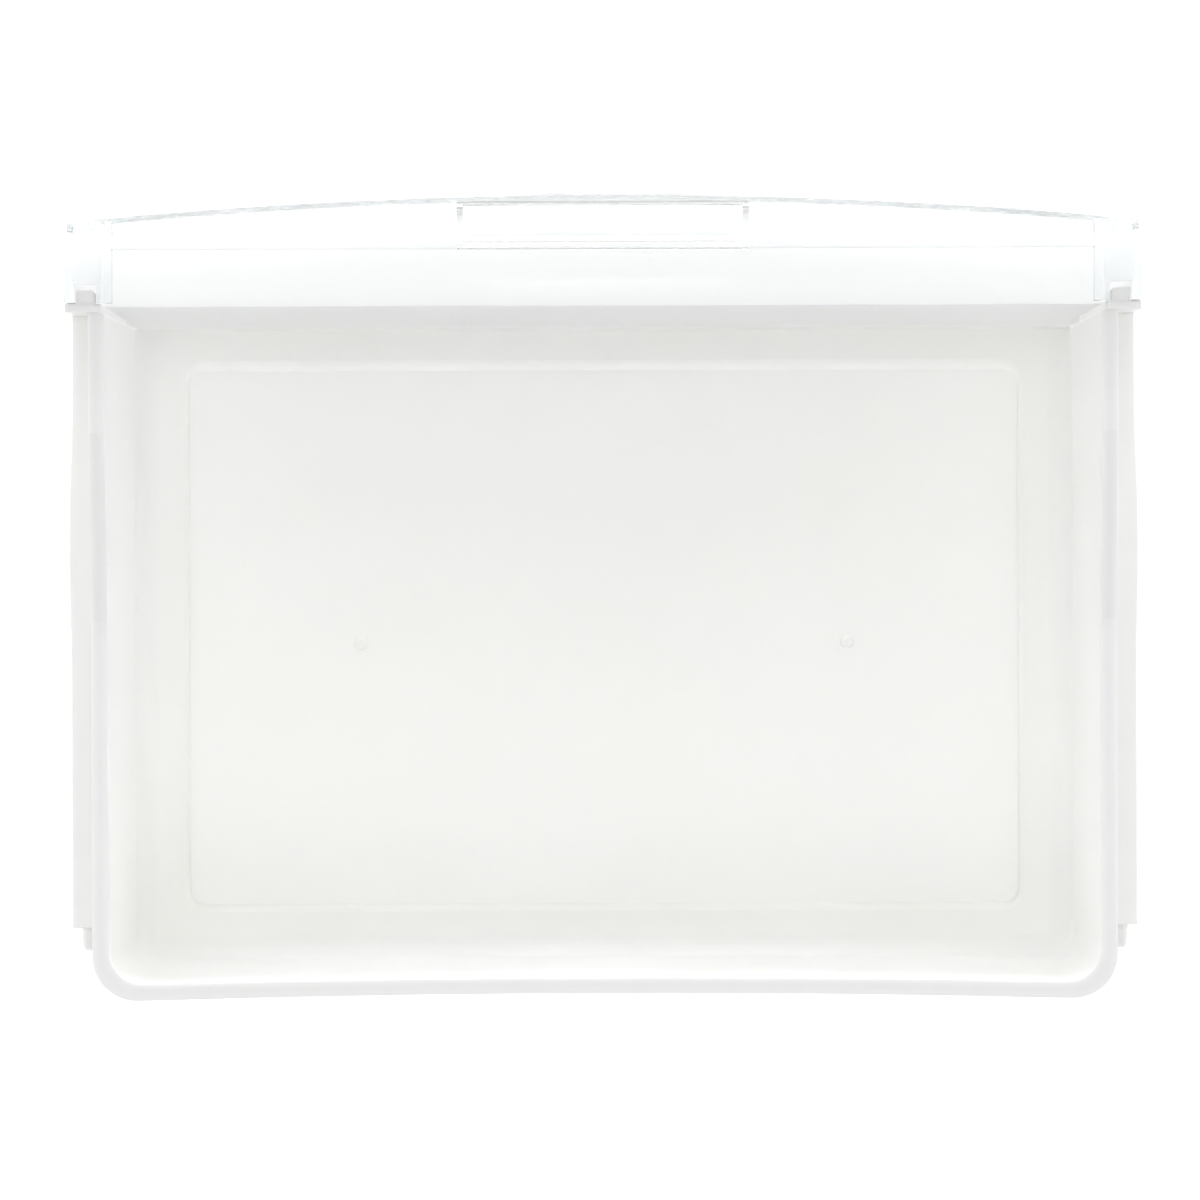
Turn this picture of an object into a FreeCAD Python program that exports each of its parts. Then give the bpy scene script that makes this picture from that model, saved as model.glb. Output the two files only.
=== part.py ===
import FreeCAD, Part
import math
import os
import sys
import Sketcher

# Refrigerator crisper drawer: a white moulded tray with an open front, a clear bowed front
# cover that snaps on to the tray's flange, and two small wheels on the tray's stub axles.
#
# Millimetres. +Z up. The origin is under the middle of the drawer, on the plane its foot ring
# stands on. -Y is the front (the clear cover), +Y the back of the fridge, +X the right-hand
# side for someone standing in front of the drawer.

V = FreeCAD.Vector
doc = FreeCAD.newDocument("crisper_drawer")

# ---------------------------------------------------------------------------------------------
# Driving dimensions
# ---------------------------------------------------------------------------------------------
sheet = doc.addObject("Spreadsheet::Sheet", "Sizes")
CELLS = [
    # tray shell
    ("wall", 2.5, "tray wall and floor thickness"),
    ("draft", 0.76, "mould draft of the tray walls, degrees"),
    ("inner_half", 196.85, "half the tray's inner width at the floor"),
    ("back_corner", 156.6, "inner face of the rear wall at the floor, beside the corners"),
    ("back_mid", 154.2, "inner face of the rear wall at the floor, in the middle"),
    ("corner_in", 12.0, "inner radius of the upright rear corners"),
    ("corner_rim", 18.0, "outer radius of the rim at the rear corners"),
    ("base_in", 10.0, "radius between the floor and the walls, inside"),
    ("base_out", 11.0, "radius under the walls, outside"),
    ("rim_front", 150.0, "height of the rim at the front"),
    ("rim_back", 138.0, "height of the rim at the back"),
    ("rim_slope_a", -62.0, "where the rim starts to fall"),
    ("rim_slope_b", 13.0, "where the rim is level again"),
    ("rim_half", 205.2, "half the width over the rim"),
    ("rim_rear_corner", 165.35, "rear edge of the rim beside the corners"),
    ("rim_rear_mid", 162.2, "rear edge of the rim in the middle"),
    ("rim_deep", 6.0, "height of the rolled rim's lip"),
    ("rim_roll", 1.9, "thickness of the rolled rim's lip and top"),
    # floor panel
    ("panel_half", 177.2, "half the width of the raised floor panel at its foot"),
    ("panel_front", -96.9, "front edge of the raised panel at its foot"),
    ("panel_rear", 136.8, "rear edge of the raised panel at its foot"),
    ("panel_rise", 2.6, "height of the raised panel"),
    ("bevel_front", 5.3, "width of the panel's front cove"),
    ("bevel_rear", 4.4, "width of the panel's rear cove"),
    ("bevel_side", 3.0, "width of the panel's side coves"),
    ("panel_corner", 8.0, "corner radius of the panel"),
    ("gate_x", 102.3, "sideways place of the two gate bumps"),
    ("gate_y", 22.9, "front to back place of the gate bumps"),
    ("gate_rad", 2.6, "radius of a gate bump"),
    ("gate_high", 0.8, "height of a gate bump"),
    # front flange, wings and sill
    ("flange_front", -113.3, "front face of the flange"),
    ("flange_thick", 3.3, "thickness of the flange"),
    ("wing_half", 214.0, "half the width over the wings"),
    ("wing_top", 155.3, "top of the wings"),
    ("wing_low", 2.6, "underside of the wings"),
    ("wing_corner", 12.0, "radius of the wings' lower corners"),
    ("mouth_half", 200.2, "half the width of the open front in the flange"),
    ("mouth_round", 1.0, "radius along the walls' front edges in the mouth"),
    ("sill_top", 8.0, "top of the sill"),
    ("sill_front", -119.0, "front edge of the sill's lip"),
    ("sill_half", 211.4, "half the width of the sill's lip"),
    ("sill_thick", 3.0, "thickness of the sill's lip"),
    ("sill_back", 1.0, "depth of the steep slope behind the sill"),
    # rails
    ("rail_half", 215.2, "half the width over the side rails where they are widest"),
    ("rail_half_front", 213.8, "half the width over the rails at the front"),
    ("rail_half_rear", 214.4, "half the width over the rails at the rear"),
    ("rail_top", 121.0, "height of the rail's upper face"),
    ("rail_thick", 2.4, "thickness of the rail"),
    ("rail_deep", 9.0, "height of the rail's outer lip"),
    ("rail_lip", 2.0, "thickness of the rail's outer lip"),
    ("rail_rear", 136.4, "rear end of the rails"),
    ("bow_a", -80.0, "where the rails start to bow outwards"),
    ("bow_mid", -20.0, "where the rails are widest"),
    ("bow_b", 42.0, "where the rails are straight again"),
    ("rib_thick", 1.8, "thickness of the ribs under the rails"),
    # snap lugs
    ("lug_in", 201.7, "inner side of a lug"),
    ("lug_out", 209.2, "outer side of a lug"),
    ("lug_front", -118.6, "front of a lug"),
    ("lug_top", 156.6, "top of a lug"),
    ("lug_under", 153.2, "underside of a lug's tongue"),
    ("barb_deep", 2.4, "how far a lug's barb reaches down"),
    # stub axles and wheels
    ("axle_y", 139.2, "front to back place of the wheel axis"),
    ("axle_z", 110.0, "height of the wheel axis"),
    ("axle_rad", 3.0, "radius of a stub axle"),
    ("boss_rad", 5.2, "radius of the boss behind the wheel"),
    ("boss_face", 203.0, "outer face of the boss"),
    ("wheel_in", 203.2, "inner face of a wheel"),
    ("wheel_out", 210.6, "outer face of a wheel"),
    ("wheel_rad", 7.0, "radius of a wheel"),
    ("wheel_bore", 3.05, "radius of the wheel's bore"),
    ("sink_rad", 4.7, "radius of the recess for the axle's head"),
    ("sink_deep", 1.7, "depth of that recess"),
    ("head_rad", 3.7, "radius of the axle's snap head"),
    ("head_end", 211.1, "outer end of the axle"),
    ("slit", 1.1, "width of the slit in the axle's head"),
    # front cover
    ("cover_wall", 2.4, "wall thickness of the cover"),
    ("cover_low", 2.0, "underside of the cover"),
    ("cover_top", 158.0, "top of the cover"),
    ("cover_rear", -113.6, "rear edges of the cover"),
    ("cover_half_rear", 214.3, "half the cover's width at its rear edge"),
    ("cover_half_front", 212.7, "half the cover's width at its front corners"),
    ("face_top_mid", -155.7, "front face at the top, in the middle"),
    ("face_top_end", -145.6, "front face at the top, at the corners"),
    ("face_belly_mid", -164.8, "front face at its fullest, in the middle"),
    ("face_belly_end", -151.2, "front face at its fullest, at the corners"),
    ("face_low_mid", -158.5, "front face at the bottom, in the middle"),
    ("face_low_end", -147.6, "front face at the bottom, at the corners"),
    ("belly_z", 76.0, "height where the face is fullest"),
    ("low_round", 3.2, "radius along the bottom of the face"),
    ("cheek_out", 198.0, "outer face of the flange beside the top opening"),
    ("cheek_in", 195.4, "inner face of that flange, at the side of the top opening"),
    ("cheek_front", -146.6, "front end of that flange, inside the face's wall"),
    ("cheek_deep", 12.0, "height of that flange"),
    ("deck_rear", -134.9, "rear edge of the deck"),
    ("deck_flange", 9.0, "height of the flange under the deck's rear edge"),
    ("strap_rear", -114.0, "rear edge of the strap that a lug's barb holds"),
    ("strap_front", -116.4, "front edge of that strap"),
    ("strap_thick", 2.3, "height of that strap"),
    ("window_in", 201.2, "inner side of a snap window"),
    ("window_out", 209.7, "outer side of a snap window"),
    ("window_front", -121.0, "front side of a snap window"),
    ("grip_half", 55.6, "half the width of the finger scoop"),
    ("grip_y", -144.0, "middle of the scoop, front to back"),
    ("grip_rad", 8.0, "radius of the scoop"),
]
for row, (alias, value, note) in enumerate(CELLS, start=1):
    sheet.set("A%d" % row, note)
    sheet.set("B%d" % row, repr(float(value)))
    sheet.setAlias("B%d" % row, alias)
doc.recompute()


class Dim:
    """A length that knows its number and the sheet formula it comes from."""

    def __init__(self, value, text):
        self.v = float(value)
        self.t = text

    def __add__(self, other):
        o = dim(other)
        return Dim(self.v + o.v, "(%s + %s)" % (self.t, o.t))

    __radd__ = __add__

    def __sub__(self, other):
        o = dim(other)
        return Dim(self.v - o.v, "(%s - %s)" % (self.t, o.t))

    def __rsub__(self, other):
        return dim(other) - self

    def __mul__(self, other):
        o = dim(other)
        return Dim(self.v * o.v, "(%s * %s)" % (self.t, o.t))

    __rmul__ = __mul__

    def __truediv__(self, other):
        o = dim(other)
        return Dim(self.v / o.v, "(%s / %s)" % (self.t, o.t))

    def __neg__(self):
        return Dim(-self.v, "(0 - %s)" % self.t)


def dim(x):
    return x if isinstance(x, Dim) else Dim(x, repr(float(x)))


def root(d):
    return Dim(math.sqrt(d.v), "sqrt(%s)" % d.t)


class Sizes:
    pass


S = Sizes()
for alias, value, note in CELLS:
    setattr(S, alias, Dim(sheet.get(alias), "Sizes." + alias))


# ---------------------------------------------------------------------------------------------
# Sketch and feature helpers
# ---------------------------------------------------------------------------------------------
def plane(body, role):
    for f in body.Origin.OriginFeatures:
        if f.Role == role:
            return f
    raise RuntimeError("no plane " + role)


def sketch(body, name, role, offset=None):
    sk = body.newObject("Sketcher::SketchObject", name)
    sk.AttachmentSupport = [(plane(body, role), "")]
    sk.MapMode = "FlatFace"
    if offset is not None:
        # the XZ plane's normal points to -Y
        o = -offset if role == "XZ_Plane" else dim(offset)
        sk.AttachmentOffset = FreeCAD.Placement(V(0, 0, o.v), FreeCAD.Rotation())
        sk.setExpression("AttachmentOffset.Base.z", o.t)
    return sk


def pin_point(sk, geo, pos, x, y):
    for kind, d in (("DistanceX", x), ("DistanceY", y)):
        if abs(d.v) < 1e-9:
            # a point on an axis is tied to the axis
            axis = -2 if kind == "DistanceX" else -1
            sk.addConstraint(Sketcher.Constraint("PointOnObject", geo, pos, axis))
        else:
            i = sk.addConstraint(Sketcher.Constraint(kind, -1, 1, geo, pos, d.v))
            sk.setExpression("Constraints[%d]" % i, d.t)


def outline(sk, points):
    """A closed outline. Each entry is (x, y) or (x, y, radius, side): the segment that starts
    at the point is a straight line, or an arc of that radius whose centre is on the left
    (side = 1) or the right (side = -1) of the way to the next point."""
    n = len(points)
    first = sk.GeometryCount
    pts = [(dim(p[0]), dim(p[1])) for p in points]
    for i in range(n):
        a = V(pts[i][0].v, pts[i][1].v, 0)
        b = V(pts[(i + 1) % n][0].v, pts[(i + 1) % n][1].v, 0)
        if len(points[i]) == 4:
            r = dim(points[i][2]).v
            side = points[i][3]
            m = (a + b) * 0.5
            d = b - a
            left = V(-d.y, d.x, 0)
            left.normalize()
            h = math.sqrt(max(r * r - (d.Length * 0.5) ** 2, 0.0))
            c = m + left * (h * side)
            ta = math.atan2(a.y - c.y, a.x - c.x)
            tb = math.atan2(b.y - c.y, b.x - c.x)
            if side < 0:
                ta, tb = tb, ta
            if tb < ta:
                tb += 2.0 * math.pi
            sk.addGeometry(Part.ArcOfCircle(Part.Circle(c, V(0, 0, 1), r), ta, tb), False)
        else:
            sk.addGeometry(Part.LineSegment(a, b), False)

    # an arc is stored counter-clockwise, so its ends may be the other way round
    way = []
    for i in range(n):
        g = sk.Geometry[first + i]
        a = V(pts[i][0].v, pts[i][1].v, 0)
        way.append((1, 2) if (g.StartPoint - a).Length < (g.EndPoint - a).Length else (2, 1))

    for i in range(n):
        j = (i + 1) % n
        sk.addConstraint(
            Sketcher.Constraint("Coincident", first + i, way[i][1], first + j, way[j][0])
        )
    for i in range(n):
        pin_point(sk, first + i, way[i][0], pts[i][0], pts[i][1])
        if len(points[i]) == 4:
            k = sk.addConstraint(
                Sketcher.Constraint("Radius", first + i, dim(points[i][2]).v)
            )
            sk.setExpression("Constraints[%d]" % k, dim(points[i][2]).t)
    return first


def disc(sk, x, y, r):
    r = dim(r)
    x = dim(x)
    y = dim(y)
    g = sk.addGeometry(Part.Circle(V(x.v, y.v, 0), V(0, 0, 1), r.v), False)
    pin_point(sk, g, 3, x, y)
    k = sk.addConstraint(Sketcher.Constraint("Radius", g, r.v))
    sk.setExpression("Constraints[%d]" % k, r.t)


def bow_radius(half, sag):
    """Radius of the arc whose half chord and sagitta are given (Dim text included)."""
    v = (half.v**2 + sag.v**2) / (2.0 * sag.v)
    return Dim(v, "((%s * %s + %s * %s) / (2 * %s))" % (half.t, half.t, sag.t, sag.t, sag.t))


def settle(body, feature):
    body.Tip = feature
    doc.recompute()
    if "Invalid" in feature.State or "Error" in feature.State or feature.Shape.isNull():
        raise RuntimeError("feature failed: %s %s" % (feature.Name, feature.State))
    return feature


def pad(body, name, sk, length, symmetric=False, reverse=False, taper=None):
    before = body.Shape.Volume if not body.Shape.isNull() else 0.0
    f = body.newObject("PartDesign::Pad", name)
    f.Profile = sk
    length = dim(length)
    f.Length = length.v
    f.setExpression("Length", length.t)
    if symmetric:
        f.SideType = "Symmetric"
    f.Reversed = reverse
    if taper is not None:
        f.TaperAngle = taper.v
        f.setExpression("TaperAngle", taper.t)
    settle(body, f)
    if f.Shape.Volume <= before + 1e-3:
        raise RuntimeError("pad added nothing: " + name)
    return f


def pocket(body, name, sk, length=None, symmetric=False, reverse=False, taper=None):
    before = body.Shape.Volume
    f = body.newObject("PartDesign::Pocket", name)
    f.Profile = sk
    if length is None:
        f.Type = "ThroughAll"
    else:
        length = dim(length)
        f.Length = length.v
        f.setExpression("Length", length.t)
    if symmetric:
        f.SideType = "Symmetric"
    f.Reversed = reverse
    if taper is not None:
        f.TaperAngle = taper.v
        f.setExpression("TaperAngle", taper.t)
    settle(body, f)
    if f.Shape.Volume >= before - 1e-3:
        raise RuntimeError("pocket cut nothing: " + name)
    return f


def mirror(body, name, originals):
    before = body.Shape.Volume
    f = body.newObject("PartDesign::Mirrored", name)
    f.Originals = originals
    f.MirrorPlane = (plane(body, "YZ_Plane"), [""])
    settle(body, f)
    if abs(f.Shape.Volume - before) < 1e-3:
        raise RuntimeError("mirror did nothing: " + name)
    return f


def edges_where(shape, test):
    out = []
    for i, e in enumerate(shape.Edges, start=1):
        if test(e):
            out.append("Edge%d" % i)
    return out


def round_edges(body, name, test, radius, kind="PartDesign::Fillet", need=1):
    base = body.Tip
    names = edges_where(base.Shape, test)
    if len(names) < need:
        raise RuntimeError("%s: only %d edges" % (name, len(names)))
    f = body.newObject(kind, name)
    f.Base = (base, names)
    prop = "Radius" if kind.endswith("Fillet") else "Size"
    setattr(f, prop, radius.v)
    f.setExpression(prop, radius.t)
    return settle(body, f)


def loft(body, name, sections, kind="PartDesign::AdditiveLoft", ruled=False):
    f = body.newObject(kind, name)
    f.Profile = sections[0]
    f.Sections = sections[1:]
    f.Ruled = ruled
    return settle(body, f)


def is_upright(e):
    b = e.BoundBox
    return b.ZLength > 1.0 and b.XLength < 3.2 and b.YLength < 3.2


# ---------------------------------------------------------------------------------------------
# Tray
# ---------------------------------------------------------------------------------------------
tray = doc.addObject("PartDesign::Body", "tray_body")
tray.Label = "tray"

OUT_HALF = S.inner_half + S.wall
OUT_CORNER = S.back_corner + S.wall
OUT_MID = S.back_mid + S.wall
FLANGE_REAR = S.flange_front + S.flange_thick

def tub_outline(sk, half, front, corner, mid, r):
    """Plan outline of the tub: straight front and sides, a rear side that bows inwards, and rear
    corners of radius r tangent to both."""
    bow = bow_radius(half, corner - mid)
    centre = mid + bow
    cx = half - r
    cy = centre - root((bow + r) * (bow + r) - cx * cx)
    share = bow / (bow + r)
    tx = cx * share
    ty = centre - (centre - cy) * share
    outline(
        sk,
        [
            (-half, front),
            (half, front),
            (half, cy, r, 1),
            (tx, ty, bow, -1),
            (-tx, ty, r, 1),
            (-half, cy),
        ],
    )


# outer block of the tub, drafted outwards, with a rear wall that bows inwards a little
sk = sketch(tray, "tub_outline", "XY_Plane")
tub_outline(sk, OUT_HALF, FLANGE_REAR, OUT_CORNER, OUT_MID, S.corner_in + S.wall)
pad(tray, "tub_block", sk, S.rim_front, taper=S.draft)

# rolled rim: a band around the top, wider than the tub
sk = sketch(tray, "rim_outline", "XY_Plane", S.rim_back - S.rim_deep)
tub_outline(sk, S.rim_half, FLANGE_REAR, S.rim_rear_corner, S.rim_rear_mid, S.corner_rim)
pad(tray, "rim_block", sk, S.rim_front - S.rim_back + S.rim_deep)

# the rim falls from its front height to its rear height: everything above that line goes
sk = sketch(tray, "rim_line", "YZ_Plane")
outline(
    sk,
    [
        (-125, S.rim_front),
        (S.rim_slope_a, S.rim_front),
        (S.rim_slope_b, S.rim_back),
        (180, S.rim_back),
        (180, S.rim_front + 12),
        (-125, S.rim_front + 12),
    ],
)
pocket(tray, "rim_slope", sk, symmetric=True)

# under the front, higher part of the rim the band is trimmed to the same depth
sk = sketch(tray, "rim_under_line", "YZ_Plane", OUT_HALF + 2.0)
outline(
    sk,
    [
        (-125, S.rim_back - S.rim_deep - 2),
        (S.rim_slope_b, S.rim_back - S.rim_deep - 2),
        (S.rim_slope_b, S.rim_back - S.rim_deep),
        (S.rim_slope_a, S.rim_front - S.rim_deep),
        (-125, S.rim_front - S.rim_deep),
    ],
)
cut = pocket(tray, "rim_under", sk, 10, reverse=True)
mirror(tray, "rim_under_pair", [cut])

# side rails: a level shelf along each wall, bowed a little outwards, with an outer lip
RUN_A = S.bow_mid - S.bow_a
RUN_B = S.bow_b - S.bow_mid


def s_radius(run, rise):
    """Radius of two equal tangent arcs that step sideways by the rise over this run."""
    v = (run.v**2 + rise.v**2) / (4.0 * rise.v)
    return Dim(
        v, "((%s * %s + %s * %s) / (4 * %s))" % (run.t, run.t, rise.t, rise.t, rise.t)
    )


STEP_A = s_radius(RUN_A, S.rail_half - S.rail_half_front)
STEP_B = s_radius(RUN_B, S.rail_half - S.rail_half_rear)
MID_A = (S.bow_a + S.bow_mid) * 0.5
MID_B = (S.bow_b + S.bow_mid) * 0.5
HALF_A = (S.rail_half + S.rail_half_front) * 0.5
HALF_B = (S.rail_half + S.rail_half_rear) * 0.5
RAIL_START = FLANGE_REAR - 0.5
OUTER_LINE = [
    (S.rail_half_front, RAIL_START),
    (S.rail_half_front, S.bow_a, STEP_A, -1),
    (HALF_A, MID_A, STEP_A, 1),
    (S.rail_half, S.bow_mid, STEP_B, 1),
    (HALF_B, MID_B, STEP_B, -1),
    (S.rail_half_rear, S.bow_b),
    (S.rail_half_rear, S.rail_rear),
]

sk = sketch(tray, "rail_shelf_plan", "XY_Plane", S.rail_top - S.rail_thick)
outline(
    sk, OUTER_LINE + [(OUT_HALF + 0.2, S.rail_rear), (OUT_HALF + 0.2, RAIL_START)]
)
rail_a = pad(tray, "rail_shelf", sk, S.rail_thick)
sk = sketch(tray, "rail_lip_plan", "XY_Plane", S.rail_top - S.rail_deep)
outline(
    sk,
    OUTER_LINE
    + [
        (S.rail_half_rear - S.rail_lip, S.rail_rear),
        (S.rail_half_rear - S.rail_lip, S.bow_b, STEP_B, 1),
        (HALF_B - S.rail_lip, MID_B, STEP_B, -1),
        (S.rail_half - S.rail_lip, S.bow_mid, STEP_A, -1),
        (HALF_A - S.rail_lip, MID_A, STEP_A, 1),
        (S.rail_half_front - S.rail_lip, S.bow_a),
        (S.rail_half_front - S.rail_lip, RAIL_START),
    ],
)
rail_b = pad(tray, "rail_lip_band", sk, S.rail_deep)
parts = [rail_a, rail_b]

# ribs between the rail, its lip and the wall
for n, y in enumerate((-96, -19, 62, 98, 124.0), start=1):
    sk = sketch(tray, "rib_line_%d" % n, "XZ_Plane", dim(y) + S.rib_thick * 0.5)
    z = S.rail_top - S.rail_thick * 0.5
    outline(
        sk,
        [
            (OUT_HALF + 0.4, z),
            (S.rail_half_front - S.rail_lip * 0.5, z),
            (S.rail_half_front - S.rail_lip * 0.5, z - S.rail_deep + S.rail_thick * 0.5 + 1.0),
            (OUT_HALF + 0.4, z - S.rail_deep * 2.0),
        ],
    )
    parts.append(pad(tray, "rib_%d" % n, sk, S.rib_thick))
mirror(tray, "rail_pair", parts)

# wings: the flange across the front, with the drawer's open mouth cut in it later
sk = sketch(tray, "wing_outline", "XZ_Plane", FLANGE_REAR)
outline(
    sk,
    [
        (-S.wing_half, S.wing_low),
        (S.wing_half, S.wing_low),
        (S.wing_half, S.wing_top),
        (-S.wing_half, S.wing_top),
    ],
)
pad(tray, "wings", sk, S.flange_thick)
round_edges(
    tray,
    "wing_corners",
    lambda e: e.BoundBox.XLength < 0.01
    and e.BoundBox.ZLength < 0.01
    and abs(e.BoundBox.Center.z - S.wing_low.v) < 0.01
    and abs(abs(e.BoundBox.Center.x) - S.wing_half.v) < 0.01,
    S.wing_corner,
    need=2,
)

# inside of the tub, open to the front through the flange
sk = sketch(tray, "cavity_outline", "XY_Plane", S.wall)
tub_outline(sk, S.inner_half, dim(-125), S.back_corner, S.back_mid, S.corner_in)
pocket(tray, "cavity", sk, 170, reverse=True, taper=S.draft)

# radius between the floor and the walls
round_edges(
    tray,
    "floor_radius",
    lambda e: e.BoundBox.ZLength < 0.01
    and abs(e.BoundBox.Center.z - S.wall.v) < 0.01
    and (abs(e.BoundBox.Center.x) > 150 or e.BoundBox.Center.y > 100)
    and e.BoundBox.Center.y > -30,
    S.base_in,
    need=3,
)
round_edges(
    tray,
    "foot_radius",
    lambda e: e.BoundBox.ZLength < 0.01
    and abs(e.BoundBox.Center.z) < 0.01
    and (abs(e.BoundBox.Center.x) > 150 or e.BoundBox.Center.y > 100)
    and e.BoundBox.Center.y > -30,
    S.base_out,
    need=3,
)

# the mouth in the flange is wider than the tub, so the walls' front ends show behind it
sk = sketch(tray, "mouth_outline", "XZ_Plane", S.flange_front)
outline(
    sk,
    [
        (-S.mouth_half, S.sill_top),
        (S.mouth_half, S.sill_top),
        (S.mouth_half, S.wing_top + 5.0),
        (-S.mouth_half, S.wing_top + 5.0),
    ],
)
pocket(tray, "mouth", sk, S.flange_thick)
round_edges(
    tray,
    "mouth_edges",
    lambda e: e.BoundBox.YLength < 0.01
    and abs(e.BoundBox.Center.y - FLANGE_REAR.v) < 0.01
    and e.BoundBox.ZLength > 100
    and S.inner_half.v - 0.1 < abs(e.BoundBox.Center.x) < S.mouth_half.v - 0.3,
    S.mouth_round,
    need=2,
)

# sill: closes the bottom of the mouth, slopes to the floor behind it, and its lip reaches forward
sk = sketch(tray, "sill_line", "YZ_Plane")
outline(
    sk,
    [
        (S.flange_front, S.wing_low),
        (S.flange_front, S.sill_top),
        (FLANGE_REAR + 0.6, S.sill_top),
        (FLANGE_REAR + 0.6 + S.sill_back, S.wall),
        (FLANGE_REAR + 0.6 + S.sill_back, S.wall * 0.5),
        (FLANGE_REAR, S.wing_low - 1.0),
    ],
)
pad(tray, "sill", sk, (S.inner_half + 0.8) * 2, symmetric=True)
sk = sketch(tray, "sill_lip_line", "YZ_Plane")
outline(
    sk,
    [
        (S.sill_front, S.sill_top - S.sill_thick),
        (S.sill_front, S.sill_top),
        (S.flange_front + 0.4, S.sill_top),
        (S.flange_front + 0.4, S.sill_top - S.sill_thick),
    ],
)
pad(tray, "sill_lip", sk, S.sill_half * 2, symmetric=True)

# raised floor panel: a low plateau, hollow below, so the floor keeps its wall
def panel_sketch(name, z, front, rear, side, radius):
    k = sketch(tray, name, "XY_Plane", z)
    hx = S.panel_half - side
    y0 = S.panel_front + front
    y1 = S.panel_rear - rear
    r = dim(radius)
    outline(
        k,
        [
            (-hx + r, y0),
            (hx - r, y0, r, 1),
            (hx, y0 + r),
            (hx, y1 - r, r, 1),
            (hx - r, y1),
            (-hx + r, y1, r, 1),
            (-hx, y1 - r),
            (-hx, y0 + r, r, 1),
        ],
    )
    return k


def cove(width, rise, z):
    """How far in a concave quarter-like arc stands at height z: the arc leaves the floor level
    and climbs the rise over the width."""
    r = (rise * rise + width * width) / (rise * 2.0)
    return root(r * z * 2.0 - z * z)


# the panel's edges are coves: they leave the floor level and meet the panel's top at an edge
RISES = (0.02, 0.1, 0.26, 0.5, 0.76, 1.0)
secs = []
for i, k in enumerate(RISES):
    z = S.panel_rise * k
    secs.append(
        panel_sketch(
            "panel_%d" % i,
            S.wall + z if i else S.wall - 0.01,
            cove(S.bevel_front, S.panel_rise, z),
            cove(S.bevel_rear, S.panel_rise, z),
            cove(S.bevel_side, S.panel_rise, z),
            S.panel_corner - 2.0 * k,
        )
    )
loft(tray, "panel", secs, ruled=True)
lo = panel_sketch("recess_foot", dim(0), 1.2, 1.2, 1.2, S.panel_corner - 1.0)
hi = panel_sketch(
    "recess_top",
    S.panel_rise,
    S.bevel_front + 1.6,
    S.bevel_rear + 1.6,
    S.bevel_side + 1.6,
    S.panel_corner - 3.5,
)
loft(tray, "panel_recess", [lo, hi], "PartDesign::SubtractiveLoft", ruled=True)

# two small gate bumps on the panel
sk = sketch(tray, "gate_spots", "XY_Plane", S.wall + S.panel_rise - 0.2)
disc(sk, S.gate_x, S.gate_y, S.gate_rad)
disc(sk, -S.gate_x, S.gate_y, S.gate_rad)
pad(tray, "gate_bumps", sk, S.gate_high + 0.2)
round_edges(
    tray,
    "gate_domes",
    lambda e: e.BoundBox.ZLength < 0.01
    and abs(e.BoundBox.Center.z - (S.wall.v + S.panel_rise.v + S.gate_high.v)) < 0.01
    and e.BoundBox.XLength < 6,
    S.gate_high - 0.1,
    need=2,
)

# snap lugs: a tongue reaches forward from the top of each wing, and its barb points down
sk = sketch(tray, "lug_line", "YZ_Plane", S.lug_in)
outline(
    sk,
    [
        (S.flange_front + 0.3, S.lug_under),
        (S.flange_front + 0.3, S.wing_top - 0.1),
        (S.flange_front - 1.2, S.lug_top),
        (S.lug_front, S.lug_top),
        (S.lug_front, S.lug_under + 0.4),
        (S.lug_front + 0.8, S.lug_under - S.barb_deep),
        (S.strap_front - 0.3, S.lug_under - S.barb_deep),
        (S.strap_front - 0.3, S.lug_under),
    ],
)
lug = pad(tray, "lug", sk, S.lug_out - S.lug_in)
mirror(tray, "lug_pair", [lug])
round_edges(
    tray,
    "lug_corners",
    lambda e: e.BoundBox.XLength < 0.01
    and abs(abs(e.BoundBox.Center.x) - S.lug_in.v) < 0.01
    and abs(e.BoundBox.Center.y - S.lug_front.v) < 0.01
    and e.BoundBox.ZLength > 1,
    dim(2.0),
    need=2,
)

# stub axles for the wheels: boss, axle and split snap head
sk = sketch(tray, "boss_circle", "YZ_Plane", OUT_HALF)
disc(sk, S.axle_y, S.axle_z, S.boss_rad)
a1 = pad(tray, "boss", sk, S.boss_face - OUT_HALF)
sk = sketch(tray, "axle_circle", "YZ_Plane", S.boss_face - 0.5)
disc(sk, S.axle_y, S.axle_z, S.axle_rad)
a2 = pad(tray, "axle", sk, S.wheel_out - S.sink_deep + 0.15 - S.boss_face + 0.5)
sk = sketch(tray, "head_circle", "YZ_Plane", S.wheel_out - S.sink_deep + 0.15)
disc(sk, S.axle_y, S.axle_z, S.head_rad)
a3 = pad(tray, "head", sk, S.head_end - S.wheel_out + S.sink_deep - 0.15)
sk = sketch(tray, "head_slit", "YZ_Plane", S.head_end - 4.2)
outline(
    sk,
    [
        (S.axle_y - S.slit * 0.5, S.axle_z - S.head_rad - 1.0),
        (S.axle_y + S.slit * 0.5, S.axle_z - S.head_rad - 1.0),
        (S.axle_y + S.slit * 0.5, S.axle_z + S.head_rad + 1.0),
        (S.axle_y - S.slit * 0.5, S.axle_z + S.head_rad + 1.0),
    ],
)
a4 = pocket(tray, "slit_cut", sk, 6, reverse=True)
mirror(tray, "axle_pair", [a1, a2, a3, a4])

# ---------------------------------------------------------------------------------------------
# Front cover
# ---------------------------------------------------------------------------------------------
cover = doc.addObject("PartDesign::Body", "cover_body")
cover.Label = "front_cover"


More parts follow.
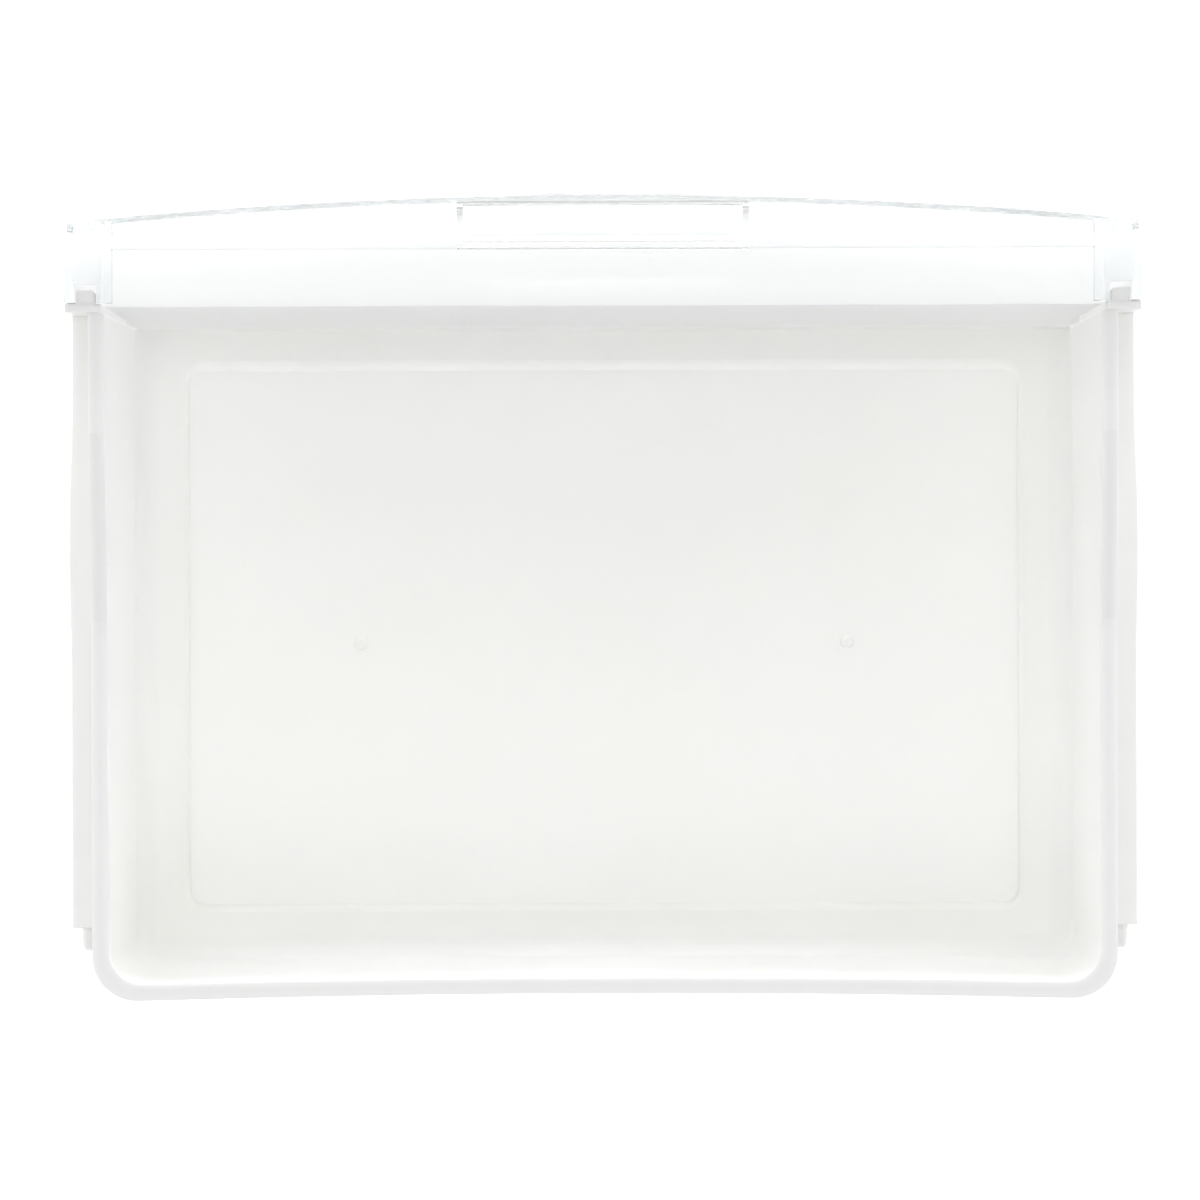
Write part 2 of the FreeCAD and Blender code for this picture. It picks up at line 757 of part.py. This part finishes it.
def face_at(z):
    """Front face at height z, in the middle and at the corners: two parabolas that meet, level,
    at the fullest height."""
    below = z.v < S.belly_z.v
    edge = S.cover_low if below else S.cover_top
    k = (z - S.belly_z) / (edge - S.belly_z)
    k = k * k
    mid = S.face_low_mid if below else S.face_top_mid
    end = S.face_low_end if below else S.face_top_end
    return (
        S.face_belly_mid + (mid - S.face_belly_mid) * k,
        S.face_belly_end + (end - S.face_belly_end) * k,
    )


def stations(inset):
    """Heights and insets of the sections of a skin that lies this far inside the outer face: a
    quarter round along the bottom, then the tall face."""
    low = []
    r = S.low_round - inset
    for deg in (0, 22.5, 45, 67.5, 90):
        c = round(1.0 - math.cos(math.radians(deg)), 6)
        n = round(1.0 - math.sin(math.radians(deg)), 6)
        low.append((S.cover_low + inset + r * c, inset + r * n))
    tall = []
    span = S.cover_top - inset - S.cover_low - S.low_round
    for share in (0.0, 0.25, 0.5, 0.75, 1.0):
        tall.append((S.cover_low + S.low_round + span * share, inset))
    return low, tall


def face_section(body, name, z, inset, xl, xr, rear, xl_rear, xr_rear):
    """A closed outline at height z: rear line, two sides and the bowed front arc between x = xl
    and x = xr. The arc has the same centre as the full face arc."""
    k = sketch(body, name, "XY_Plane", z)
    mid, end = face_at(z)
    rad = bow_radius(S.cover_half_front, end - mid)
    # the point of the inset arc at x: y = centre - sqrt(radius^2 - x^2)
    cy = mid + rad
    r = rad - inset

    def on_arc(x):
        y = cy.v - math.sqrt(r.v**2 - x.v**2)
        return Dim(y, "(%s - sqrt(%s * %s - %s * %s))" % (cy.t, r.t, r.t, x.t, x.t))

    outline(
        k,
        [
            (xl, on_arc(xl), r, 1),
            (xr, on_arc(xr)),
            (xr_rear, rear),
            (xl_rear, rear),
        ],
    )
    return k


def skin(name, inset, xl, xr, rear, xl_rear, xr_rear, kind):
    before = 0.0 if cover.Shape.isNull() else cover.Shape.Volume
    low, tall = stations(inset)
    for tag, group, ruled in (("tall", tall, False), ("low", low, True)):
        secs = [
            face_section(cover, "%s_%s_%d" % (name, tag, i), z, n, xl, xr, rear, xl_rear, xr_rear)
            for i, (z, n) in enumerate(group)
        ]
        f = loft(cover, "%s_%s" % (name, tag), secs, kind, ruled)
        if not f.Shape.isValid() or abs(f.Shape.Volume - before) < 1.0:
            raise RuntimeError("skin failed: " + f.Name)
    return f


skin(
    "shell",
    dim(0),
    -S.cover_half_front,
    S.cover_half_front,
    S.cover_rear,
    -S.cover_half_rear,
    S.cover_half_rear,
    "PartDesign::AdditiveLoft",
)


def cavity(name, xl, xr, xl_rear, xr_rear):
    return skin(
        name, S.cover_wall, xl, xr, S.cover_rear + 8, xl_rear, xr_rear, "PartDesign::SubtractiveLoft"
    )


# one room behind the face, from side wall to side wall, open to the tray
cavity(
    "room",
    -(S.cover_half_front - S.cover_wall),
    S.cover_half_front - S.cover_wall,
    -(S.cover_half_rear - S.cover_wall),
    S.cover_half_rear - S.cover_wall,
)

# the deck ends well in front of the tray: the top is open behind it
sk = sketch(cover, "hatch", "XY_Plane", S.cover_top - S.cover_wall - 1)
outline(
    sk,
    [
        (-S.cheek_in, S.deck_rear),
        (S.cheek_in, S.deck_rear),
        (S.cheek_in, S.cover_rear + 8),
        (-S.cheek_in, S.cover_rear + 8),
    ],
)
pocket(cover, "top_opening", sk, 8, reverse=True)

# flanges beside the opening, under the inner edges of the deck's two ends
sk = sketch(cover, "cheek_plan", "XY_Plane", S.cover_top - S.cheek_deep)
outline(
    sk,
    [
        (S.cheek_in, S.cheek_front),
        (S.cheek_out, S.cheek_front),
        (S.cheek_out, S.cover_rear),
        (S.cheek_in, S.cover_rear),
    ],
)
cheek = pad(cover, "cheek", sk, S.cheek_deep)
mirror(cover, "cheek_pair", [cheek])

# flange under the deck's rear edge
sk = sketch(cover, "deck_flange_line", "YZ_Plane")
outline(
    sk,
    [
        (S.deck_rear, S.cover_top - S.deck_flange),
        (S.deck_rear, S.cover_top - 1.0),
        (S.deck_rear - S.cover_wall * 0.9, S.cover_top - 1.0),
        (S.deck_rear - S.cover_wall * 0.9, S.cover_top - S.deck_flange),
    ],
)
pad(cover, "deck_lip", sk, S.cheek_in * 2 + 0.6, symmetric=True)

# finger scoop: a trough across the middle of the deck
GRIP_OUT = S.grip_rad + S.cover_wall * 0.85
sk = sketch(cover, "scoop_body_line", "YZ_Plane")
outline(
    sk,
    [
        (S.grip_y - GRIP_OUT, S.cover_top - 0.5, GRIP_OUT, 1),
        (S.grip_y, S.cover_top - 0.5 - GRIP_OUT, GRIP_OUT, 1),
        (S.grip_y + GRIP_OUT, S.cover_top - 0.5),
    ],
)
pad(cover, "scoop_body", sk, (S.grip_half + S.cover_wall) * 2, symmetric=True)
cover_scoop = []
sk0 = sketch(cover, "scoop_right", "YZ_Plane", S.grip_half)
outline(
    sk0,
    [
        (S.grip_y - S.grip_rad, S.cover_top, S.grip_rad, 1),
        (S.grip_y, S.cover_top - S.grip_rad, S.grip_rad, 1),
        (S.grip_y + S.grip_rad, S.cover_top),
        (S.grip_y + S.grip_rad, S.cover_top + 1.0),
        (S.grip_y - S.grip_rad, S.cover_top + 1.0),
    ],
)
pocket(cover, "scoop", sk0, S.grip_half * 2)

# snap windows: notches in the deck's two ends, open to the rear, and under each a strap from the
# flange to the side wall, behind the lug's barb
sk = sketch(cover, "strap_line", "XY_Plane", S.lug_under - 0.3 - S.strap_thick)
outline(
    sk,
    [
        (S.cheek_out - S.cover_wall * 0.5, S.strap_front),
        (S.cover_half_rear - S.cover_wall * 0.5, S.strap_front),
        (S.cover_half_rear - S.cover_wall * 0.5, S.strap_rear),
        (S.cheek_out - S.cover_wall * 0.5, S.strap_rear),
    ],
)
s1 = pad(cover, "strap", sk, S.strap_thick)
sk = sketch(cover, "window_line", "XY_Plane", S.cover_top - S.cover_wall - 0.6)
outline(
    sk,
    [
        (S.window_in, S.window_front),
        (S.window_out, S.window_front),
        (S.window_out, S.cover_rear + 4.0),
        (S.window_in, S.cover_rear + 4.0),
    ],
)
s2 = pocket(cover, "window", sk, 8, reverse=True)
# beside each window the outer wall is thicker, to guide the lug
sk = sketch(cover, "guide_line", "XY_Plane", S.cover_top - 40)
outline(
    sk,
    [
        (S.window_out + 0.3, S.window_front),
        (S.window_out + 2.4, S.window_front),
        (S.window_out + 2.4, S.cover_rear),
        (S.window_out + 0.3, S.cover_rear),
    ],
)
s3 = pad(cover, "guide", sk, dim(40) - S.cover_wall * 0.5)
mirror(cover, "snap_pair", [s1, s2, s3])

# ---------------------------------------------------------------------------------------------
# Wheels
# ---------------------------------------------------------------------------------------------
def wheel(label, side):
    b = doc.addObject("PartDesign::Body", label + "_body")
    b.Label = label
    k = sketch(b, label + "_section", "XY_Plane", S.axle_z)
    xi = S.wheel_in * side
    xo = S.wheel_out * side
    y = S.axle_y
    e = 1.6
    # half section through the wheel, spun about the axle line: bore, recess for the snap head,
    # rounded tread and a shallow dish in the inner face
    outline(
        k,
        [
            (xi, y + S.wheel_bore),
            (xi, y + S.wheel_rad - 1.2, 1.2, -1 if side > 0 else 1),
            (xi + 1.2 * side, y + S.wheel_rad),
            (xo - e * side, y + S.wheel_rad, e, -1 if side > 0 else 1),
            (xo, y + S.wheel_rad - e),
            (xo, y + S.sink_rad),
            (xo - S.sink_deep * side, y + S.sink_rad),
            (xo - S.sink_deep * side, y + S.wheel_bore),
        ],
    )
    # the axle line, as a construction line to spin the section about
    g = k.addGeometry(
        Part.LineSegment(V(xi.v, y.v, 0), V(xo.v, y.v, 0)), True
    )
    pin_point(k, g, 1, xi, y)
    pin_point(k, g, 2, xo, y)
    f = b.newObject("PartDesign::Revolution", label + "_spin")
    f.Profile = k
    f.ReferenceAxis = (k, ["Axis0"])
    f.Angle = 360.0
    settle(b, f)
    return b


wheel("roller_right", 1)
wheel("roller_left", -1)

# ---------------------------------------------------------------------------------------------
# Checks and files
# ---------------------------------------------------------------------------------------------
doc.recompute()
bad = [o.Name for o in doc.Objects if "Invalid" in o.State or "Error" in o.State]
if bad:
    sys.exit("failed objects: %s" % bad)
for sk in doc.findObjects("Sketcher::SketchObject"):
    if sk.GeometryCount and sk.solve() != 0:
        sys.exit("sketch does not solve: " + sk.Name)
os.makedirs("parts", exist_ok=True)
for body in doc.findObjects("PartDesign::Body"):
    shape = body.Shape
    if shape.isNull() or not shape.isValid():
        sys.exit("bad shape: " + body.Label)
    if len(shape.Solids) != 1:
        sys.exit("%s has %d solids" % (body.Label, len(shape.Solids)))
    shape.exportStep("parts/%s.step" % body.Label)
    bb = shape.BoundBox
    print(
        "%-14s x %.2f..%.2f y %.2f..%.2f z %.2f..%.2f volume %.0f"
        % (body.Label, bb.XMin, bb.XMax, bb.YMin, bb.YMax, bb.ZMin, bb.ZMax, shape.Volume)
    )
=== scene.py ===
import bpy
import math
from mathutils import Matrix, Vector

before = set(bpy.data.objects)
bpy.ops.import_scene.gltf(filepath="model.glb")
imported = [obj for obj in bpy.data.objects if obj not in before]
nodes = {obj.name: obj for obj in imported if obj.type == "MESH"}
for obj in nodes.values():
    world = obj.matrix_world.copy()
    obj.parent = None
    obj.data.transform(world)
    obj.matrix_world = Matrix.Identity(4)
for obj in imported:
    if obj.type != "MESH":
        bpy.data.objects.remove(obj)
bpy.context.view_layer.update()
scene = bpy.context.scene


# ---------------------------------------------------------------------------------------------
# Materials
# ---------------------------------------------------------------------------------------------
def new_material(name):
    m = bpy.data.materials.new(name)
    m.use_nodes = True
    t = m.node_tree
    for n in list(t.nodes):
        t.nodes.remove(n)
    out = t.nodes.new("ShaderNodeOutputMaterial")
    b = t.nodes.new("ShaderNodeBsdfPrincipled")
    t.links.new(b.outputs["BSDF"], out.inputs["Surface"])
    return m, t, b


def node(t, kind, **props):
    n = t.nodes.new(kind)
    for k, v in props.items():
        setattr(n, k, v)
    return n


def noise(t, coords, scale, detail=2.0, rough=0.5):
    n = node(t, "ShaderNodeTexNoise")
    n.inputs["Scale"].default_value = scale
    n.inputs["Detail"].default_value = detail
    n.inputs["Roughness"].default_value = rough
    t.links.new(coords, n.inputs["Vector"])
    return n.outputs["Fac"]


def ramp(t, fac, lo, hi, p0=0.3, p1=0.7):
    r = node(t, "ShaderNodeValToRGB")
    r.color_ramp.elements[0].position = p0
    r.color_ramp.elements[0].color = (*lo, 1.0)
    r.color_ramp.elements[1].position = p1
    r.color_ramp.elements[1].color = (*hi, 1.0)
    t.links.new(fac, r.inputs["Fac"])
    return r.outputs["Color"]


def span(t, fac, a, b, x0=0.0, x1=1.0):
    r = node(t, "ShaderNodeMapRange")
    r.inputs["From Min"].default_value = x0
    r.inputs["From Max"].default_value = x1
    r.inputs["To Min"].default_value = a
    r.inputs["To Max"].default_value = b
    t.links.new(fac, r.inputs["Value"])
    return r.outputs["Result"]


def mix_color(t, fac, a, b, mode="MIX"):
    m = node(t, "ShaderNodeMix", data_type="RGBA", blend_type=mode)
    if isinstance(fac, float):
        m.inputs[0].default_value = fac
    else:
        t.links.new(fac, m.inputs[0])
    for sock, v in ((m.inputs[6], a), (m.inputs[7], b)):
        if isinstance(v, tuple):
            sock.default_value = (*v, 1.0)
        else:
            t.links.new(v, sock)
    return m.outputs[2]


def moulded_white(name, low, high, edge_highlight_color, rough=(0.34, 0.46), grain=0.00003):
    """White moulded plastic: faint cloudy colour, satin gloss that varies, a fine moulded skin, slow
    waviness, and sharp convex edges painted a little lighter, a painted edge highlight."""
    m, t, b = new_material(name)
    tc = node(t, "ShaderNodeTexCoord")
    obj = tc.outputs["Object"]
    cloud = noise(t, obj, 7.0, 3.0, 0.55)
    color = ramp(t, cloud, low, high, 0.32, 0.68)
    fine = noise(t, obj, 900.0, 2.0, 0.6)
    skin = noise(t, obj, 2600.0, 1.0, 0.5)
    geo = node(t, "ShaderNodeNewGeometry")
    # painted edge highlight: sharp convex edges (high pointiness) get a lighter colour
    painted_edge_mask = node(t, "ShaderNodeValToRGB")
    painted_edge_mask.color_ramp.elements[0].position = 0.515
    painted_edge_mask.color_ramp.elements[1].position = 0.60
    t.links.new(geo.outputs["Pointiness"], painted_edge_mask.inputs["Fac"])
    color = mix_color(t, painted_edge_mask.outputs["Color"], color, edge_highlight_color)
    t.links.new(color, b.inputs["Base Color"])
    streak = noise(t, obj, 38.0, 2.0, 0.5)
    t.links.new(span(t, streak, rough[0], rough[1], 0.3, 0.7), b.inputs["Roughness"])
    b.inputs["IOR"].default_value = 1.49
    b.inputs["Specular IOR Level"].default_value = 0.45
    # a little light passes into the white plastic and through its thin walls
    b.inputs["Subsurface Weight"].default_value = 1.0
    b.inputs["Subsurface Radius"].default_value = (1.0, 1.0, 0.97)
    b.inputs["Subsurface Scale"].default_value = 0.0015
    wave = noise(t, obj, 14.0, 1.0, 0.4)
    add = node(t, "ShaderNodeMath", operation="ADD")
    t.links.new(span(t, wave, 0.0, 0.6), add.inputs[0])
    t.links.new(span(t, fine, 0.0, 0.22), add.inputs[1])
    add2 = node(t, "ShaderNodeMath", operation="ADD")
    t.links.new(add.outputs[0], add2.inputs[0])
    t.links.new(span(t, skin, 0.0, 0.12), add2.inputs[1])
    bump = node(t, "ShaderNodeBump")
    bump.inputs["Strength"].default_value = 1.0
    bump.inputs["Distance"].default_value = grain
    t.links.new(add2.outputs[0], bump.inputs["Height"])
    soft = node(t, "ShaderNodeBevel", samples=4)
    soft.inputs["Radius"].default_value = 0.0007
    t.links.new(soft.outputs["Normal"], bump.inputs["Normal"])
    t.links.new(bump.outputs["Normal"], b.inputs["Normal"])
    return m


def clear_plastic(name):
    """Clear moulded plastic: nearly colourless, glossy, with slow waviness and faint handling marks, and
    sharp edges painted a cooler, darker tint, a painted shade standing in for the light lost along a wall
    seen edge-on."""
    m, t, b = new_material(name)
    tc = node(t, "ShaderNodeTexCoord")
    obj = tc.outputs["Object"]
    cloud = noise(t, obj, 9.0, 2.0, 0.5)
    color = ramp(t, cloud, (0.985, 0.992, 0.994), (0.993, 0.998, 0.999), 0.3, 0.7)
    geo = node(t, "ShaderNodeNewGeometry")
    # painted shade: sharp edges (high pointiness) get a cooler, darker tint
    painted_edge_mask = node(t, "ShaderNodeValToRGB")
    painted_edge_mask.color_ramp.elements[0].position = 0.52
    painted_edge_mask.color_ramp.elements[1].position = 0.62
    t.links.new(geo.outputs["Pointiness"], painted_edge_mask.inputs["Fac"])
    color = mix_color(t, painted_edge_mask.outputs["Color"], color, (0.95, 0.975, 0.982))
    t.links.new(color, b.inputs["Base Color"])
    haze = noise(t, obj, 60.0, 4.0, 0.65)
    t.links.new(span(t, haze, 0.04, 0.075, 0.35, 0.75), b.inputs["Roughness"])
    b.inputs["IOR"].default_value = 1.53
    b.inputs["Transmission Weight"].default_value = 0.985
    thick = node(t, "ShaderNodeVolumeAbsorption")
    thick.inputs["Color"].default_value = (0.2, 0.55, 0.68, 1.0)
    thick.inputs["Density"].default_value = 0.45
    out = next(n for n in t.nodes if n.type == "OUTPUT_MATERIAL")
    t.links.new(thick.outputs["Volume"], out.inputs["Volume"])
    wave = noise(t, obj, 22.0, 1.0, 0.4)
    bump = node(t, "ShaderNodeBump")
    bump.inputs["Strength"].default_value = 1.0
    bump.inputs["Distance"].default_value = 0.00002
    t.links.new(wave, bump.inputs["Height"])
    t.links.new(bump.outputs["Normal"], b.inputs["Normal"])
    return m


# the third colour in each call is the painted edge highlight for sharp convex edges
tray_white = moulded_white(
    "tray_white_plastic", (0.93, 0.932, 0.908), (0.942, 0.944, 0.922), (0.955, 0.957, 0.942), (0.32, 0.40)
)
wheel_white = moulded_white(
    "wheel_white_plastic", (0.955, 0.955, 0.94), (0.97, 0.97, 0.955), (0.98, 0.98, 0.97), (0.25, 0.36)
)
cover_clear = clear_plastic("cover_clear_plastic")


def dress(name, material):
    o = nodes[name]
    o.data.materials.clear()
    o.data.materials.append(material)


dress("tray", tray_white)
dress("roller_left", wheel_white)
dress("roller_right", wheel_white)
dress("front_cover", cover_clear)

# ---------------------------------------------------------------------------------------------
# Floor, light and camera
# ---------------------------------------------------------------------------------------------
fm, ft, fb = new_material("studio_floor")
fb.inputs["Base Color"].default_value = (0.93, 0.93, 0.93, 1.0)
fb.inputs["Roughness"].default_value = 0.9
fb.inputs["Emission Color"].default_value = (1.0, 1.0, 1.0, 1.0)
# the ground is lit from below like a light table: full under the part, weaker far out, so that
# the outside walls are not washed out by it
ftc = node(ft, "ShaderNodeTexCoord")
far = node(ft, "ShaderNodeVectorMath", operation="LENGTH")
ft.links.new(ftc.outputs["Object"], far.inputs[0])
glow = span(ft, far.outputs["Value"], 0.54, 0.0, 0.25, 0.55)
glow.node.interpolation_type = "SMOOTHSTEP"
ft.links.new(glow, fb.inputs["Emission Strength"])
mesh = bpy.data.meshes.new("floor")
S = 6.0
mesh.from_pydata([(-S, -S, -0.0002), (S, -S, -0.0002), (S, S, -0.0002), (-S, S, -0.0002)], [], [(0, 1, 2, 3)])
mesh.materials.append(fm)
floor = bpy.data.objects.new("studio_floor", mesh)
scene.collection.objects.link(floor)

world = bpy.data.worlds.new("studio")
scene.world = world
world.use_nodes = True
bg = world.node_tree.nodes["Background"]
bg.inputs["Color"].default_value = (1.0, 1.0, 1.0, 1.0)
bg.inputs["Strength"].default_value = 0.571


def area(name, where, aim, size, watts, color=(1, 1, 1)):
    d = bpy.data.lights.new(name, "AREA")
    d.shape = "RECTANGLE"
    d.size, d.size_y = size
    d.energy = watts
    d.color = color
    o = bpy.data.objects.new(name, d)
    o.location = where
    o.rotation_euler = (Vector(aim) - Vector(where)).to_track_quat("-Z", "Y").to_euler()
    scene.collection.objects.link(o)
    return o


area("overhead_back", (0.0, 1.4, 2.9), (0.0, 0.05, 0.0), (1.4, 1.0), 8.7)
area("front_high", (0.0, -2.0, 2.0), (0.0, 0.05, 0.05), (2.0, 1.0), 3.4)
area("front_mid", (0.0, -2.4, 0.9), (0.0, 0.05, 0.05), (2.6, 1.0), 5.3)
area("front_low", (0.0, -2.4, 0.35), (0.0, 0.05, 0.05), (2.6, 0.6), 58.4)
for side in (-1, 1):
    area("side_low", (2.4 * side, 0.0, 0.9), (0.0, 0.0, 0.05), (2.6, 1.0), 11.6)
    area("side_high", (2.0 * side, 0.0, 2.0), (0.0, 0.0, 0.05), (2.0, 1.0), 2.9)

cam = bpy.data.cameras.new("camera")
cam.lens = 192.15
cam.sensor_width = 36.0
cam.clip_start = 0.05
cam_obj = bpy.data.objects.new("camera", cam)
cam_obj.location = (0.0016, 0.005, 2.700)
cam_obj.rotation_euler = (0.0, 0.0, math.pi - 0.0033)
scene.collection.objects.link(cam_obj)
scene.camera = cam_obj
# clear walls pass light along themselves, so paths are let run long enough to leave them
scene.cycles.max_bounces = 40
scene.cycles.transmission_bounces = 40
scene.cycles.glossy_bounces = 40
scene.cycles.diffuse_bounces = 8
scene.view_settings.view_transform = "Standard"
scene.view_settings.look = "None"
